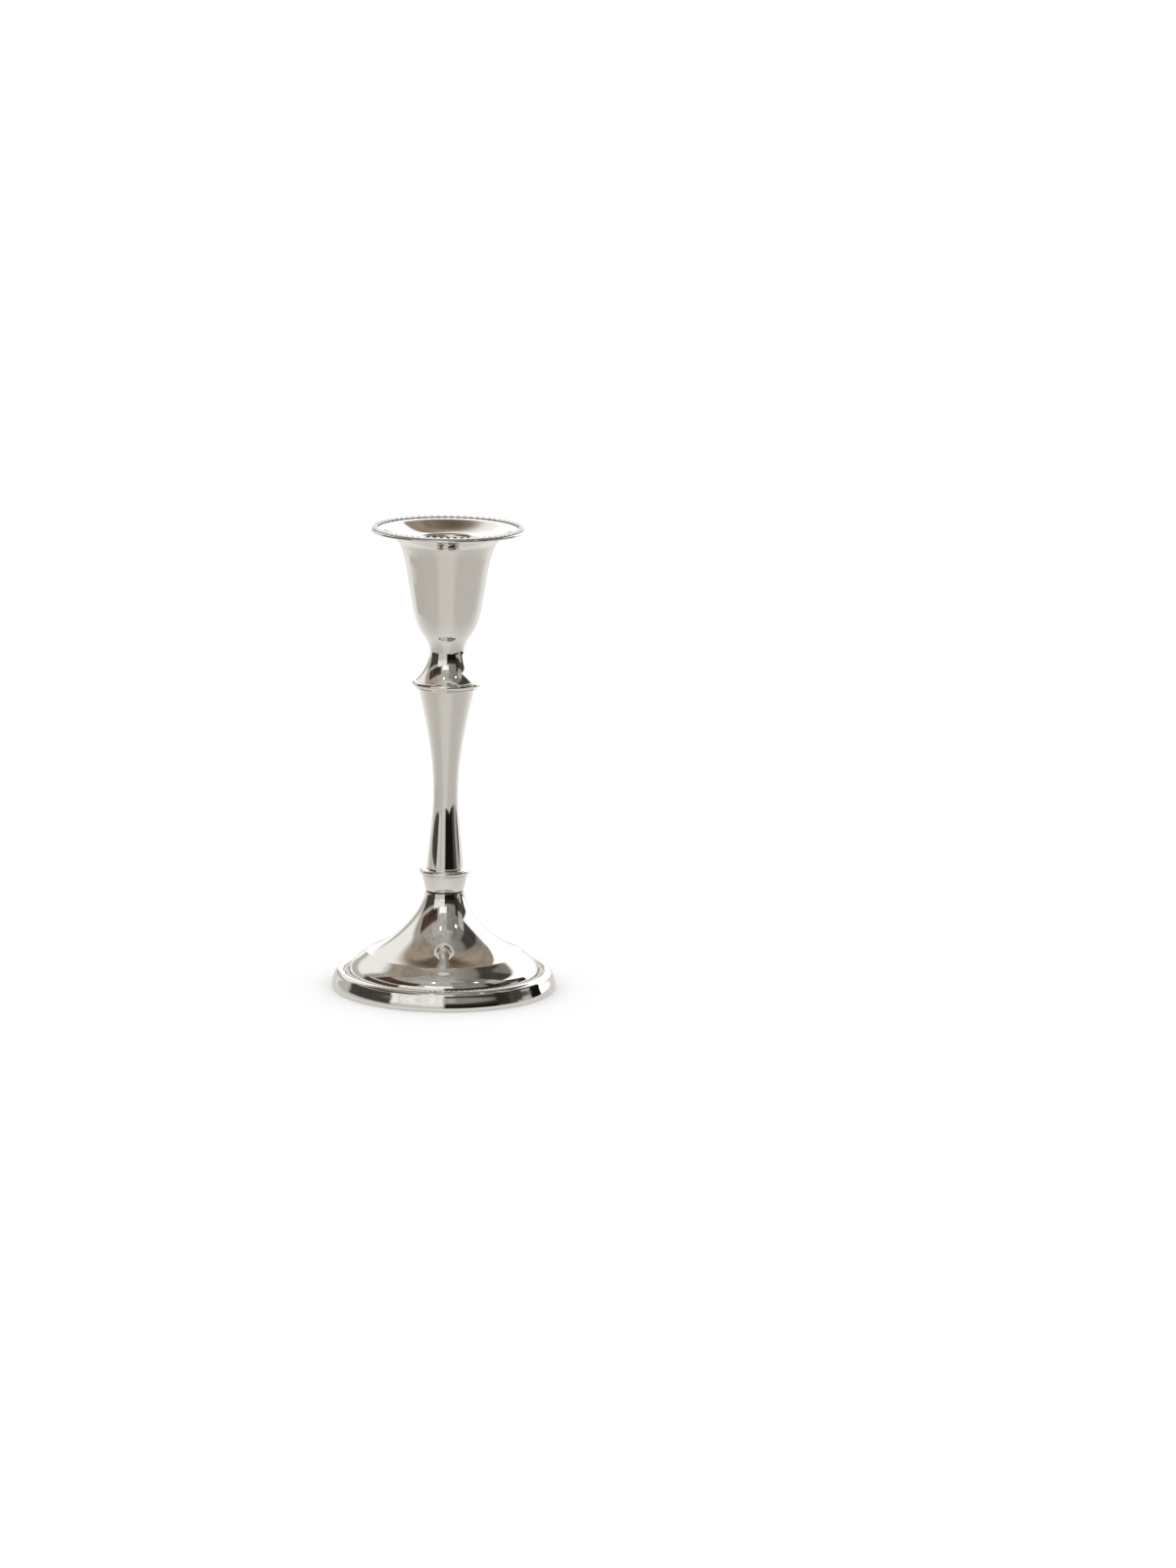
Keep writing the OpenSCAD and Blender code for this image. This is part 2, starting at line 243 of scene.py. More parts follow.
class Solid:
    """A mesh under construction: points and faces of one piece."""

    def __init__(self) -> None:
        """Starts with nothing in it."""
        self.points: list[Vector] = []
        self.faces: list[tuple[int, ...]] = []

    def revolve(self, outline: Sequence[Point], segments: int, shaper: Shaper | None = None,
                closed: bool = True) -> None:
        """Adds a body turned about the Z axis.

        Args:
            outline: Radius and height of each point.
            segments: Number of flats round the axis.
            shaper: Gives the real radius from radius, height and angle, for what isn't quite round.
            closed: True if the last point joins the first.
        """
        rings: list[list[int]] = []
        if closed and enclosed(outline) < 0:
            outline = outline[::-1]
        for radius, height in outline:
            if radius < ON_AXIS:
                self.points.append(Vector((0, 0, height)))
                rings.append([len(self.points) - 1] * segments)
                continue
            ring = []
            for k in range(segments):
                angle = math.tau * k / segments
                real = shaper(radius, height, angle) if shaper else radius
                ring.append(len(self.points))
                self.points.append(Vector((real * math.cos(angle), real * math.sin(angle), height)))
            rings.append(ring)
        pairs = zip(rings, rings[1:] + rings[:1]) if closed else zip(rings, rings[1:])
        for low, high in pairs:
            for k in range(segments):
                after = (k + 1) % segments
                loop = (low[k], low[after], high[after], high[k])
                corners = tuple(dict.fromkeys(loop))
                if len(corners) > 2:
                    self.faces.append(corners)

    def dome(self, centre: Vector, radius: float, sides: int, rows: int, turn: float) -> None:
        """Adds a closed bead: half a ball on a flat base.

        Args:
            centre: Middle of the flat base.
            radius: Radius of the ball.
            sides: Number of flats round the bead.
            rows: Number of rows from the base to the pole.
            turn: Angle of the first flat, in radians.
        """
        first = len(self.points)
        for row in range(rows):
            rise = math.pi / 2 * row / rows
            ring_r = radius * math.cos(rise)
            z = radius * math.sin(rise)
            for k in range(sides):
                angle = turn + math.tau * k / sides
                offset = Vector((ring_r * math.cos(angle), ring_r * math.sin(angle), z))
                self.points.append(centre + offset)
        pole = len(self.points)
        self.points.append(centre + Vector((0, 0, radius)))
        for row in range(rows - 1):
            for k in range(sides):
                after = (k + 1) % sides
                low, high = first + row * sides, first + (row + 1) * sides
                self.faces.append((low + k, low + after, high + after, high + k))
        top = first + (rows - 1) * sides
        for k in range(sides):
            self.faces.append((top + k, top + (k + 1) % sides, pole))
        self.faces.append(tuple(first + k for k in reversed(range(sides))))

    def piece(self, name: str, crease: float = 32.0) -> bpy.types.Object:
        """Makes the Blender object, smooth but for its creases.

        Args:
            name: The piece's name.
            crease: Angle in degrees above which an edge stays sharp.

        Returns:
            The object, linked to the scene.
        """
        mesh = bpy.data.meshes.new(name)
        mesh.from_pydata([tuple(p) for p in self.points], [], self.faces)
        mesh.validate()
        mesh.polygons.foreach_set("use_smooth", [True] * len(mesh.polygons))
        mesh.set_sharp_from_angle(angle=math.radians(crease))
        mesh.update()
        made = bpy.data.objects.new(name, mesh)
        bpy.context.scene.collection.objects.link(made)
        return made


def turned(name: str, outline: Sequence[Point], soft: float = 0.12 * MM,
           segments: int = ROUND) -> bpy.types.Object:
    """A turned piece with softened edges.

    Args:
        name: The piece's name.
        outline: Radius and height of each point.
        soft: How far back the rounding of an edge starts.
        segments: Number of flats round the axis.

    Returns:
        The object.
    """
    solid = Solid()
    solid.revolve(softened(outline, soft), segments)
    return solid.piece(name)


# ---------------------------------------------------------------- materials


class Value:
    """A number, vector or colour on its way through a material's nodes."""

    def __init__(self, graph: "Graph", socket: bpy.types.NodeSocket) -> None:
        """Wraps an output socket of a graph."""
        self.graph = graph
        self.socket = socket

    def __add__(self, other: "Value | float") -> "Value":
        """The sum."""
        return self.graph.maths("ADD", self, other)

    def __radd__(self, other: float) -> "Value":
        """The sum, from the right."""
        return self.graph.maths("ADD", other, self)

    def __sub__(self, other: "Value | float") -> "Value":
        """The difference."""
        return self.graph.maths("SUBTRACT", self, other)

    def __rsub__(self, other: float) -> "Value":
        """The difference, from the right."""
        return self.graph.maths("SUBTRACT", other, self)

    def __mul__(self, other: "Value | float") -> "Value":
        """The product."""
        return self.graph.maths("MULTIPLY", self, other)

    def __rmul__(self, other: float) -> "Value":
        """The product, from the right."""
        return self.graph.maths("MULTIPLY", other, self)

    def __truediv__(self, other: "Value | float") -> "Value":
        """The quotient."""
        return self.graph.maths("DIVIDE", self, other)

    def __pow__(self, other: "Value | float") -> "Value":
        """The power."""
        return self.graph.maths("POWER", self, other)


Colour = tuple[float, float, float]
Fed = Value | float | Sequence[float]


class Graph:
    """The node tree of one material."""

    def __init__(self, name: str) -> None:
        """Makes a material with an empty tree.

        Args:
            name: The material's name.
        """
        self.material = bpy.data.materials.new(name)
        self.material.use_nodes = True
        self.tree = self.material.node_tree
        self.tree.nodes.clear()

    def feed(self, socket: bpy.types.NodeSocket, value: Fed) -> None:
        """Links a value to a socket, or sets a constant on it.

        Args:
            socket: The input socket.
            value: What goes into it. A colour may come without its alpha, which is then 1.
        """
        if isinstance(value, Value):
            self.tree.links.new(value.socket, socket)
        elif socket.type == "RGBA" and len(value) == 3:
            socket.default_value = (*value, 1.0)
        else:
            socket.default_value = value

    def node(self, kind: str, settings: dict | None = None, inputs: dict | None = None,
             output: int | str = 0) -> Value:
        """Adds any node.

        Args:
            kind: The node's type.
            settings: Its own settings, such as a Math node's operation, set first.
            inputs: What goes into its sockets, by name or number.
            output: The output that is wanted.

        Returns:
            The value at that output.
        """
        made = self.tree.nodes.new(kind)
        for name, setting in (settings or {}).items():
            setattr(made, name, setting)
        for name, value in (inputs or {}).items():
            self.feed(made.inputs[name], value)
        return Value(self, made.outputs[output])

    def maths(self, operation: str, *values: Fed) -> Value:
        """Adds a Math node, with its inputs in order."""
        return self.node("ShaderNodeMath", {"operation": operation}, dict(enumerate(values)))

    def vector(self, operation: str, inputs: dict) -> Value:
        """Adds a Vector Math node, with its inputs by name or number."""
        return self.node("ShaderNodeVectorMath", {"operation": operation}, inputs)

    def mixed(self, factor: Fed, first: Fed, second: Fed) -> Value:
        """A mix of two colours: a factor of 0 gives the first and 1 the second."""
        return self.node("ShaderNodeMix", {"data_type": "RGBA"}, {0: factor, 6: first, 7: second}, 2)

    def stepped(self, value: Fed, low: float, high: float) -> Value:
        """A smooth step from 0 to 1, as a value goes from low to high."""
        inputs = {"Value": value, "From Min": low, "From Max": high}
        return self.node("ShaderNodeMapRange", {"interpolation_type": "SMOOTHSTEP"}, inputs)

    def millimetres(self) -> Value:
        """The place on the piece, in millimetres of the frame."""
        place = self.node("ShaderNodeTexCoord", output="Object")
        return self.vector("SCALE", {0: place, "Scale": 1 / MM})

    def noise(self, place: Value, scale: float, detail: float, rough: float,
              output: str = "Fac") -> Value:
        """Noise read at a place: its scale, number of octaves and strength of the finer ones."""
        inputs = {"Vector": place, "Scale": scale, "Detail": detail, "Roughness": rough}
        return self.node("ShaderNodeTexNoise", inputs=inputs, output=output)

    def axes(self, place: Value) -> list[Value]:
        """The x, y and z of a place."""
        split = self.node("ShaderNodeSeparateXYZ", inputs={0: place})
        return [Value(self, output) for output in split.socket.node.outputs]

    def lathe_place(self, place: Value) -> Value:
        """Radius and height as a vector, so that a texture read there is the same all round."""
        x, y, z = self.axes(place)
        return self.node("ShaderNodeCombineXYZ", inputs={0: (x * x + y * y) ** 0.5, 1: z})

    def bump(self, height: Value, depth: float) -> Value:
        """A normal from a height, of which 1 stands for a depth in metres."""
        return self.node("ShaderNodeBump", inputs={"Strength": 1.0, "Distance": depth, "Height": height})

    def surface(self, **sockets: Fed) -> bpy.types.Material:
        """Ends the tree in one Principled shader, with _ for a space in its sockets' names."""
        inputs = {name.replace("_", " "): value for name, value in sockets.items()}
        return self.ended(self.node("ShaderNodeBsdfPrincipled", inputs=inputs))

    def glowing(self, colour: Fed) -> bpy.types.Material:
        """Ends the tree in one Emission shader."""
        return self.ended(self.node("ShaderNodeEmission", inputs={"Color": colour, "Strength": 1.0}))

    def ended(self, shader: Value) -> bpy.types.Material:
        """Ends the tree in a shader.

        Args:
            shader: The shader's value.

        Returns:
            The finished material.
        """
        end = self.tree.nodes.new("ShaderNodeOutputMaterial")
        self.feed(end.inputs["Surface"], shader)
        return self.material


@dataclass(frozen=True)
class SilverPlate:
    """Polished silver plate: mirror bright, with turning lines, wiping haze, a trace of tarnish and
    painted shade in a recess.
    """

    name: str = "polished_silver"
    bright: Colour = (0.95, 0.935, 0.91)
    tarnished: Colour = (0.80, 0.74, 0.66)
    # Near-black colour of the painted shade below the recess level
    grime: Colour = (0.02, 0.018, 0.015)
    gloss: float = 0.035
    haze: float = 0.03
    scuff: float = 0.035
    # Extra roughness where that painted shade lies
    grime_dull: float = 0.4
    wave: float = 0.010 * MM
    line_depth: float = 0.0012 * MM
    tarnish: float = 0.16
    # Level below which the plate gets painted shade, as in a shadow gap; 0 leaves it out
    recess: float = 0.0

    def material(self) -> bpy.types.Material:
        """Builds the finish.

        Returns:
            The material.
        """
        graph = Graph(self.name)
        place = graph.millimetres()
        rings = graph.lathe_place(place)
        cloud = graph.noise(place, 0.09, 3.0, 0.55)
        lines = graph.noise(rings, 3.2, 4.0, 0.7)
        wipes = graph.noise(graph.vector("MULTIPLY", {0: place, 1: (0.5, 0.5, 3.0)}), 1.6, 5.0, 0.65)
        film = graph.stepped(cloud, 0.46, 0.78)
        colour = graph.mixed(film * self.tarnish, self.bright, self.tarnished)
        scuffs = graph.stepped(wipes, 0.52, 0.80)
        roughness = self.gloss + scuffs * self.scuff + film * self.haze
        # Painted shade: below the recess level the plate turns near black and duller, standing in for the
        # shadow in a gap
        if self.recess:
            edge = self.recess / MM
            painted_shade_mask = 1 - graph.stepped(graph.axes(place)[2], edge - 0.02, edge + 0.08)
            colour = graph.mixed(painted_shade_mask, colour, self.grime)
            roughness = roughness + painted_shade_mask * self.grime_dull
        sway = graph.noise(place, 0.13, 1.0, 0.4)
        height = sway + lines * (self.line_depth / self.wave)
        return graph.surface(Base_Color=colour, Metallic=1.0, Roughness=roughness,
                             Normal=graph.bump(height, self.wave))


@dataclass(frozen=True)
class RecessSilver:
    """Silver plate of a beading: bright on the crowns, darker where a cloth doesn't reach."""

    name: str
    seat: float
    crown: float
    bright: Colour = (0.95, 0.935, 0.91)
    dark: Colour = (0.10, 0.085, 0.07)
    gloss: float = 0.08
    dull: float = 0.35
    frost: float = 0.45
    stain: float = 0.9
    deep_to: float = 0.04
    bright_from: float = 0.32
    patch: float = 0.3
    grain: float = 0.004 * MM

    def material(self) -> bpy.types.Material:
        """Builds the finish.

        Returns:
            The material.
        """
        graph = Graph(self.name)
        place = graph.millimetres()
        patchy = graph.noise(place, 0.7, 3.0, 0.6)
        foot, rise = self.seat / MM, (self.crown - self.seat) / MM
        height = graph.axes(place)[2] + (patchy - 0.5) * (self.patch * rise)
        deep = 1 - graph.stepped(height, foot + self.deep_to * rise, foot + self.bright_from * rise)
        colour = graph.mixed(deep * self.stain, self.bright, self.dark)
        roughness = self.gloss + deep * (self.dull - self.gloss)
        grain = graph.noise(place, 5.0, 3.0, 0.6)
        metal = self.frost + deep * (1 - self.frost)
        return graph.surface(Base_Color=colour, Metallic=metal, Roughness=roughness,
                             Normal=graph.bump(grain, self.grain))


@dataclass(frozen=True)
class TurnedSteel:
    """Plain turned steel, with tool rings and a little rust in its pits."""

    name: str = "turned_steel"
    bare: Colour = (0.56, 0.56, 0.57)
    rust: Colour = (0.25, 0.13, 0.07)
    gloss: float = 0.26

    def material(self) -> bpy.types.Material:
        """Builds the finish.

        Returns:
            The material.
        """
        graph = Graph(self.name)
        place = graph.millimetres()
        tool = graph.noise(graph.lathe_place(place), 7.0, 3.0, 0.6)
        spots = graph.stepped(graph.noise(place, 0.8, 5.0, 0.65), 0.56, 0.70)
        colour = graph.mixed(spots * 0.7, self.bare, self.rust)
        roughness = self.gloss + tool * 0.12 + spots * 0.35
        return graph.surface(Base_Color=colour, Metallic=1 - spots * 0.8, Roughness=roughness,
                             Normal=graph.bump(tool + spots * 0.5, 0.02 * MM))


@dataclass(frozen=True)
class CastIron:
    """Rough grey iron with a sandy skin."""

    name: str = "cast_iron"
    skin: Colour = (0.11, 0.105, 0.10)
    rust: Colour = (0.20, 0.10, 0.055)

    def material(self) -> bpy.types.Material:
        """Builds the finish.

        Returns:
            The material.
        """
        graph = Graph(self.name)
        place = graph.millimetres()
        sand = graph.noise(place, 2.2, 6.0, 0.7)
        bloom = graph.stepped(graph.noise(place, 0.12, 4.0, 0.6), 0.48, 0.66)
        colour = graph.mixed(bloom * 0.6, self.skin, self.rust)
        return graph.surface(Base_Color=colour, Metallic=0.55, Roughness=0.62 + sand * 0.2,
                             Normal=graph.bump(sand, 0.12 * MM))


@dataclass(frozen=True)
class LacqueredSheet:
    """Brown lacquer on sheet metal, with brush streaks and dull patches."""

    name: str = "brown_lacquer"
    light: Colour = (0.20, 0.135, 0.085)
    dark: Colour = (0.10, 0.066, 0.042)

    def material(self) -> bpy.types.Material:
        """Builds the finish.

        Returns:
            The material.
        """
        graph = Graph(self.name)
        place = graph.millimetres()
        streaks = graph.noise(graph.vector("MULTIPLY", {0: place, 1: (0.12, 2.4, 1.0)}), 1.0, 5.0, 0.6)
        dull = graph.noise(place, 0.08, 3.0, 0.5)
        colour = graph.mixed(streaks, self.light, self.dark)
        return graph.surface(Base_Color=colour, Roughness=0.28 + dull * 0.3,
                             Normal=graph.bump(streaks, 0.03 * MM))


@dataclass(frozen=True)
class WoolFelt:
    """Dark green felt: matted fibres, lint and a soft sheen."""

    name: str = "green_felt"
    deep: Colour = (0.012, 0.040, 0.024)
    light: Colour = (0.045, 0.105, 0.065)
    lint: Colour = (0.30, 0.32, 0.28)

    def material(self) -> bpy.types.Material:
        """Builds the finish.

        Returns:
            The material.
        """
        graph = Graph(self.name)
        place = graph.millimetres()
        warp = graph.noise(place, 0.5, 3.0, 0.6, "Color")
        bent = graph.vector("ADD", {0: place, 1: graph.vector("SCALE", {0: warp, "Scale": 3.0})})
        mat_a = graph.noise(graph.vector("MULTIPLY", {0: bent, 1: (0.6, 4.0, 1.0)}), 1.2, 5.0, 0.7)
        mat_b = graph.noise(graph.vector("MULTIPLY", {0: bent, 1: (4.0, 0.6, 1.0)}), 1.2, 5.0, 0.7)
        fibres = graph.maths("MAXIMUM", mat_a, mat_b)
        worn = graph.stepped(graph.noise(place, 0.06, 3.0, 0.5), 0.4, 0.7)
        specks = graph.stepped(graph.noise(place, 2.6, 2.0, 0.5), 0.74, 0.80)
        colour = graph.mixed(fibres * 0.7 + worn * 0.3, self.deep, self.light)
        colour = graph.mixed(specks * 0.6, colour, self.lint)
        return graph.surface(Base_Color=colour, Roughness=0.95, Sheen_Weight=0.5, Sheen_Roughness=0.5,
                             Normal=graph.bump(fibres, 0.25 * MM))


# ---------------------------------------------------------------- the stick


def low(node: str) -> Vector:
    """The lowest corner of a frame node."""
    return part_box(node)[0]


def high(node: str) -> Vector:
    """The highest corner of a frame node."""
    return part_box(node)[1]


def fit(piece: bpy.types.Object, node: str, body: Body,
        material: bpy.types.Material) -> bpy.types.Object:
    """Dresses a piece and puts it in the place of a frame node.

    Args:
        piece: The piece.
        node: The node that it stands for.
        body: The body that it rides on.
        material: Its finish.

    Returns:
        The piece.
    """
    piece.data.materials.append(material)
    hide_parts(node)
    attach(piece, body.value)
    log.info("%s stands for %s with %d faces", piece.name, node, len(piece.data.polygons))
    return piece


@dataclass
class Foot:
    """The foot: spun shell, beading and rolled rim."""

    silver: bpy.types.Material
    top_r: float = 7.5 * MM
    top_t: float = 1.5 * MM
    wall: float = 1.0 * MM
    crest_h: float = 14.0 * MM
    shoulder_w: float = 6.6 * MM
    border_w: float = 6.7 * MM
    rim_w: float = 4.7 * MM
    rim_wall: float = 2.8 * MM
    rim_rise: float = 1.25 * MM
    beads: int = 110
    band_w: float = 1.2 * MM

    def __post_init__(self) -> None:
        """Reads the levels and the radius of the foot from the frame."""
        self.outer_r = high("foot_rim").x
        self.base = low("foot_rim").z
        self.top = high("foot_shell").z
        self.seat = low("foot_beading").z
        self.bead_r = high("foot_beading").z - self.seat
        self.dome_r = self.outer_r - self.border_w
        self.crest_r = self.dome_r - self.shoulder_w
        self.rim_in_r = self.outer_r - self.rim_w
        self.flange_r = self.outer_r - self.rim_wall

    def line(self) -> list[Point]:
        """The outer line of the foot, from its top down to the flange.

        Returns:
            The points in order.
        """
        fall, reach = self.top - self.crest_h, self.crest_r - self.top_r
        sweep = curve((self.top_r, self.top), (self.top_r + 0.9 * MM, self.top - 0.37 * fall),
                      (self.crest_r - 0.55 * reach, self.crest_h + 0.20 * fall),
                      (self.crest_r, self.crest_h), 64)
        shoulder = curve((self.crest_r, self.crest_h), (self.crest_r + 2.6 * MM, self.crest_h - 2.35 * MM),
                         (self.dome_r - 0.1 * MM, self.seat + 3.6 * MM), (self.dome_r, self.seat), 40)
        return joined(sweep, shoulder)

    def shell(self) -> bpy.types.Object:
        """The spun shell.

        Returns:
            The piece.
        """
        line = self.line()
        inside = between(inset(line, self.wall), self.seat - self.wall, self.top - self.top_t)
        outline = joined([(ROD_HOLE_R, self.top)], line,
                         [(self.flange_r, self.seat), (self.flange_r, self.seat - self.wall)],
                         inside[::-1], [(ROD_HOLE_R, self.top - self.top_t)])
        return turned("foot_spun_shell", outline)

    def rim(self) -> bpy.types.Object:
        """The rolled rim outside the beading.

        Returns:
            The piece.
        """
        r, seat, rise = self.outer_r, self.seat, self.rim_rise
        lean_r, lean_z = r - 1.3 * MM, seat - 0.6 * MM
        band = curve((r, self.base + 0.4 * MM), (r, self.base + 2.2 * MM), (r - 0.7 * MM, seat - 2.4 * MM),
                     (lean_r, lean_z), 24)
        roll = curve((lean_r, lean_z), (r - 1.7 * MM, seat + 1.15 * rise),
                     (self.rim_in_r + 0.5 * MM, seat + 1.6 * rise), (self.rim_in_r, seat), 24)
        outline = joined([(self.flange_r, self.base), (r - 0.3 * MM, self.base)], band, roll,
                         [(self.flange_r, seat)])
        return turned("foot_rolled_rim", outline)

    def beading(self) -> bpy.types.Object:
        """The ring of beads inside the rim."""
        return beaded("foot_beads", (self.dome_r + self.rim_in_r) / 2, self.seat, self.bead_r,
                      self.beads, self.band_w)

    def build(self) -> None:
        """Makes the pieces of the foot and dresses them."""
        fit(self.shell(), "foot_shell", Body.STAND, self.silver)
        fit(self.rim(), "foot_rim", Body.STAND, self.silver)
        finish = RecessSilver("foot_bead_silver", self.seat, self.seat + self.bead_r)
        fit(self.beading(), "foot_beading", Body.STAND, finish.material())


def beaded(name: str, ring_r: float, seat: float, bead_r: float, count: int,
           band_w: float) -> bpy.types.Object:
    """A ring of half beads on a flat band.

    Args:
        name: The piece's name.
        ring_r: Radius of the ring that the beads stand on.
        seat: Height of their flat undersides.
        bead_r: Radius of a bead.
        count: Number of beads.
        band_w: Width of the band that joins them.

    Returns:
        The piece.
    """
    solid = Solid()
    sides, rows, band_segments = 20, 8, 220
    for i in range(count):
        angle = math.tau * (i + 0.5) / count
        centre = Vector((ring_r * math.cos(angle), ring_r * math.sin(angle), seat))
        solid.dome(centre, bead_r, sides, rows, angle)
    band = ring(ring_r - band_w / 2, ring_r + band_w / 2, seat, seat + bead_r / 3)
    solid.revolve(softened(band, 0.1 * MM), band_segments)
    return solid.piece(name)


@dataclass
class Column:
    """The column on the foot: collar, lower knop, hollow stem and upper knop."""

    silver: bpy.types.Material
    collar_top_r: float = 8.7 * MM
    collar_foot_r: float = 7.3 * MM
    gap_h: float = 0.45 * MM
    gap_r: float = 6.6 * MM
    spigot_r: float = 4.0 * MM
    spigot_h: float = 1.5 * MM
    socket_gap: float = 0.3 * MM
    long_spigot_h: float = 2.5 * MM
    neck_spigot_h: float = 3.0 * MM
    lower_edge: float = 1.1 * MM
    step_h: float = 0.45 * MM
    step_out: float = 0.25 * MM
    foot_taper: float = 0.5 * MM
    top_taper: float = 0.8 * MM
    stem_top_r: float = 10.6 * MM
    waist_r: float = 4.75 * MM
    stem_foot_r: float = 7.1 * MM
    waist_h: float = 29.0 * MM
    stem_wall: float = 0.9 * MM
    upper_edge: float = 1.15 * MM
    under_bead_r: float = 0.55 * MM
    under_bead_in: float = 0.9 * MM

    def __post_init__(self) -> None:
        """Reads the levels and the outer radii from the frame."""
        self.collar_z = low("collar").z
        self.lower_knop_z = high("collar").z
        self.stem_z = low("stem").z
        self.upper_knop_z = high("stem").z
        self.cup_z = low("socket_cup").z
        self.lower_knop_r = high("lower_knop").x
        self.upper_knop_r = high("upper_knop").x

    def stem_line(self) -> list[Point]:
        """The outer line of the stem, from its top down.

        Returns:
            The points in order.
        """
        waist_z = self.stem_z + self.waist_h
        above = self.upper_knop_z - waist_z
        upper = curve((self.stem_top_r, self.upper_knop_z),
                      (self.waist_r + 0.37 * (self.stem_top_r - self.waist_r), waist_z + 0.6 * above),
                      (self.waist_r, waist_z + 0.34 * above), (self.waist_r, waist_z), 64)
        lower = curve((self.waist_r, waist_z), (self.waist_r, self.stem_z + 0.72 * self.waist_h),
                      (self.waist_r + 0.62 * (self.stem_foot_r - self.waist_r),
                       self.stem_z + 0.34 * self.waist_h), (self.stem_foot_r, self.stem_z), 48)
        return joined(upper, lower)

    def collar(self) -> bpy.types.Object:
        """The tapered collar over the shadow gap.

        Returns:
            The piece.
        """
        socket_r = self.spigot_r + FIT_CLEAR
        socket_z = self.lower_knop_z - self.spigot_h - self.socket_gap
        gap_z = self.collar_z + self.gap_h
        outline = [(ROD_HOLE_R, self.collar_z), (self.gap_r, self.collar_z), (self.gap_r, gap_z),
                   (self.collar_foot_r, gap_z), (self.collar_top_r, self.lower_knop_z),
                   (socket_r, self.lower_knop_z), (socket_r, socket_z), (ROD_HOLE_R, socket_z)]
        return turned("tapered_collar", outline)

    def lower_knop(self) -> bpy.types.Object:
        """The turned ring between the collar and the stem.

        Returns:
            The piece.
        """
        step_r = self.collar_top_r + self.step_out
        up_r = self.stem_foot_r - self.stem_wall - self.foot_taper
        edge = arc((self.lower_knop_r - self.lower_edge, self.stem_z - self.lower_edge),
                   self.lower_edge, -70, 90)
        outline = joined([(ROD_HOLE_R, self.lower_knop_z - self.spigot_h),
                          (self.spigot_r, self.lower_knop_z - self.spigot_h),
                          (self.spigot_r, self.lower_knop_z), (step_r, self.lower_knop_z),
                          (step_r, self.lower_knop_z + self.step_h)], edge,
                         [(up_r, self.stem_z), (up_r, self.stem_z + self.long_spigot_h),
                          (ROD_HOLE_R, self.stem_z + self.long_spigot_h)])
        return turned("lower_knop_ring", outline)

    def stem(self) -> bpy.types.Object:
        """The hollow waisted stem.

        Returns:
            The piece.
        """
        line = self.stem_line()
        inside = between(inset(line, self.stem_wall), self.stem_z, self.upper_knop_z)
        return turned("waisted_stem", joined(line, inside[::-1]))

    def upper_knop(self) -> bpy.types.Object:
        """The turned ring under the cup, with its small bead.

        Returns:
            The piece.
        """
        edge_r = self.upper_knop_r - self.upper_edge
        down_r = self.stem_top_r - self.stem_wall - self.top_taper
        bead = arc((edge_r - self.under_bead_in, self.upper_knop_z + self.under_bead_r),
                   self.under_bead_r, -90, 60, 14)
        edge = arc((edge_r, self.cup_z - self.upper_edge), self.upper_edge, -80, 90)
        up_r = NECK_BORE_R - FIT_CLEAR
        outline = joined([(ROD_HOLE_R, self.upper_knop_z - self.long_spigot_h),
                          (down_r, self.upper_knop_z - self.long_spigot_h), (down_r, self.upper_knop_z)],
                         bead, edge,
                         [(up_r, self.cup_z), (up_r, self.cup_z + self.neck_spigot_h),
                          (ROD_HOLE_R, self.cup_z + self.neck_spigot_h)])
        return turned("upper_knop_ring", outline)

    def build(self) -> None:
        """Makes the pieces of the column and dresses them."""
        # The collar's silver has painted shade below the top of its shadow gap
        gap_silver = SilverPlate("collar_silver", recess=self.collar_z + self.gap_h).material()
        fit(self.collar(), "collar", Body.STAND, gap_silver)
        for piece, node in ((self.lower_knop(), "lower_knop"), (self.stem(), "stem"),
                            (self.upper_knop(), "upper_knop")):
            fit(piece, node, Body.STAND, self.silver)


